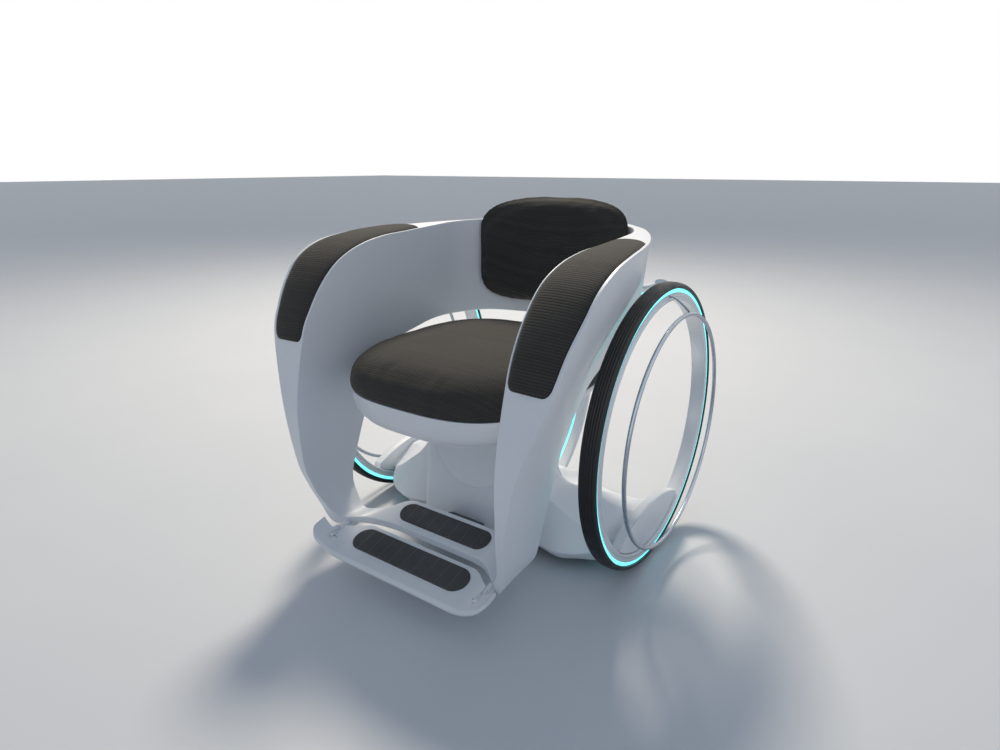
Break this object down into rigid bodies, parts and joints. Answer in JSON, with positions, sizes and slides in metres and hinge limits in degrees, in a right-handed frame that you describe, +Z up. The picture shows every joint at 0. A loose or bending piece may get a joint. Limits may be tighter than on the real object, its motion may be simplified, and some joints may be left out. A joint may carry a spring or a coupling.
{
  "type": "wheelchair",
  "caption": "Wheelchair with a wrap-round armchair shell, round padded seat on a lift column, hubless lit wheels, push rims and a fold-up footplate.",
  "frame": {"origin": "on the floor, under the middle of the bounding box", "axes": "+Z up, -Y is the way the sitter faces, +X is the sitter's left; the wheels turn about X"},
  "size_m": [0.7792, 0.7948, 0.7537],
  "materials": {
    "white_plastic": "smooth white moulded plastic, lightly glossy",
    "white_rim": "white enamelled",
    "charcoal_fabric": "charcoal ribbed weave",
    "tyre_rubber": "black, fine ribs round the tread",
    "caster_rubber": "black",
    "black_grip": "black ribbed rubber",
    "cyan_light": "lit cyan light guide",
    "satin_metal": "satin",
    "black_metal": "black, smooth",
    "grey_plastic": "dark grey, matt"
  },
  "bodies": {
    "chair_body": {"arm_light_left": "cyan_light", "arm_light_right": "cyan_light", "armrest_pad_left": "charcoal_fabric", "armrest_pad_right": "charcoal_fabric", "back_cushion": "charcoal_fabric", "base_plate": "grey_plastic", "base_shell": "white_plastic", "battery_pack": "grey_plastic", "caster_cup_left": "grey_plastic", "caster_cup_right": "grey_plastic", "gas_spring": "black_metal", "guide_bush": "grey_plastic", "guide_tube": "satin_metal", "hinge_lug_left": "white_plastic", "hinge_lug_right": "white_plastic", "light_controller": "grey_plastic", "pod_cover_left": "white_plastic", "pod_cover_right": "white_plastic", "pod_housing_left": "white_plastic", "pod_housing_right": "white_plastic", "rear_arm_left": "white_plastic", "rear_arm_right": "white_plastic", "rear_grip": "black_grip", "rear_spine": "white_plastic", "shell_bracket": "grey_plastic", "shell_left": "white_plastic", "shell_mount_left": "grey_plastic", "shell_mount_right": "grey_plastic", "shell_right": "white_plastic", "side_roller_pin_left": "satin_metal", "side_roller_pin_right": "satin_metal", "spine_light": "cyan_light"},
    "wheel_left_body": {"tyre_left": "tyre_rubber", "rim_left": "white_rim", "inner_light_ring_left": "cyan_light", "outer_light_ring_left": "cyan_light", "push_rim_left": "satin_metal"},
    "rim_roller_front_left_body": {"rim_roller_front_left": "grey_plastic"},
    "rim_roller_rear_left_body": {"rim_roller_rear_left": "grey_plastic"},
    "side_roller_left_body": {"side_roller_left": "grey_plastic"},
    "caster_left_body": {"caster_fork_left": "satin_metal"},
    "caster_wheel_left_body": {"caster_wheel_left": "caster_rubber"},
    "wheel_right_body": {"tyre_right": "tyre_rubber", "rim_right": "white_rim", "inner_light_ring_right": "cyan_light", "outer_light_ring_right": "cyan_light", "push_rim_right": "satin_metal"},
    "rim_roller_front_right_body": {"rim_roller_front_right": "grey_plastic"},
    "rim_roller_rear_right_body": {"rim_roller_rear_right": "grey_plastic"},
    "side_roller_right_body": {"side_roller_right": "grey_plastic"},
    "caster_right_body": {"caster_fork_right": "satin_metal"},
    "caster_wheel_right_body": {"caster_wheel_right": "caster_rubber"},
    "seat_body": {"seat_pan": "white_plastic", "seat_cushion": "charcoal_fabric", "lift_tube": "satin_metal"},
    "footplate_body": {"front_footplate": "white_plastic", "front_grip": "black_grip", "hinge_pin_left": "satin_metal", "hinge_pin_right": "satin_metal"}
  },
  "joints": [
    {"name": "wheel_left_spin", "type": "hinge", "parent": "chair_body", "child": "wheel_left_body", "pos_m": [0.339, 0.0665, 0.305], "axis": [1, 0, 0], "continuous": true},
    {"name": "wheel_right_spin", "type": "hinge", "parent": "chair_body", "child": "wheel_right_body", "pos_m": [-0.339, 0.0665, 0.305], "axis": [1, 0, 0], "continuous": true},
    {"name": "rim_roller_front_left_spin", "type": "hinge", "parent": "chair_body", "child": "rim_roller_front_left_body", "pos_m": [0.339, -0.03554, 0.07582], "axis": [1, 0, 0], "continuous": true},
    {"name": "rim_roller_rear_left_spin", "type": "hinge", "parent": "chair_body", "child": "rim_roller_rear_left_body", "pos_m": [0.339, 0.16854, 0.07582], "axis": [1, 0, 0], "continuous": true},
    {"name": "side_roller_left_spin", "type": "hinge", "parent": "chair_body", "child": "side_roller_left_body", "pos_m": [0.3135, 0.14631, 0.57443], "axis": [0, 0.284, 0.9588], "continuous": true},
    {"name": "caster_left_swivel", "type": "hinge", "parent": "chair_body", "child": "caster_left_body", "pos_m": [0.084, -0.0795, 0.053], "axis": [0, 0, 1], "continuous": true},
    {"name": "caster_left_spin", "type": "hinge", "parent": "caster_left_body", "child": "caster_wheel_left_body", "pos_m": [0.084, -0.0915, 0.022], "axis": [1, 0, 0], "continuous": true},
    {"name": "rim_roller_front_right_spin", "type": "hinge", "parent": "chair_body", "child": "rim_roller_front_right_body", "pos_m": [-0.339, -0.03554, 0.07582], "axis": [1, 0, 0], "continuous": true},
    {"name": "rim_roller_rear_right_spin", "type": "hinge", "parent": "chair_body", "child": "rim_roller_rear_right_body", "pos_m": [-0.339, 0.16854, 0.07582], "axis": [1, 0, 0], "continuous": true},
    {"name": "side_roller_right_spin", "type": "hinge", "parent": "chair_body", "child": "side_roller_right_body", "pos_m": [-0.3135, 0.14631, 0.57443], "axis": [0, 0.284, 0.9588], "continuous": true},
    {"name": "caster_right_swivel", "type": "hinge", "parent": "chair_body", "child": "caster_right_body", "pos_m": [-0.084, -0.0795, 0.053], "axis": [0, 0, 1], "continuous": true},
    {"name": "caster_right_spin", "type": "hinge", "parent": "caster_right_body", "child": "caster_wheel_right_body", "pos_m": [-0.084, -0.0915, 0.022], "axis": [1, 0, 0], "continuous": true},
    {"name": "seat_lift", "type": "slide", "parent": "chair_body", "child": "seat_body", "axis": [0, 0, 1], "range_m": [0, 0.08]},
    {"name": "footplate_fold", "type": "hinge", "parent": "chair_body", "child": "footplate_body", "pos_m": [0, -0.364, 0.0708], "axis": [-1, 0, 0], "range_deg": [0, 90]}
  ],
  "couplings": [
    {"joint": "rim_roller_front_left_spin", "follows": "wheel_left_spin", "ratio": 15},
    {"joint": "rim_roller_rear_left_spin", "follows": "wheel_left_spin", "ratio": 15},
    {"joint": "side_roller_left_spin", "follows": "wheel_left_spin", "ratio": -28.1},
    {"joint": "rim_roller_front_right_spin", "follows": "wheel_right_spin", "ratio": 15},
    {"joint": "rim_roller_rear_right_spin", "follows": "wheel_right_spin", "ratio": 15},
    {"joint": "side_roller_right_spin", "follows": "wheel_right_spin", "ratio": 28.1}
  ]
}
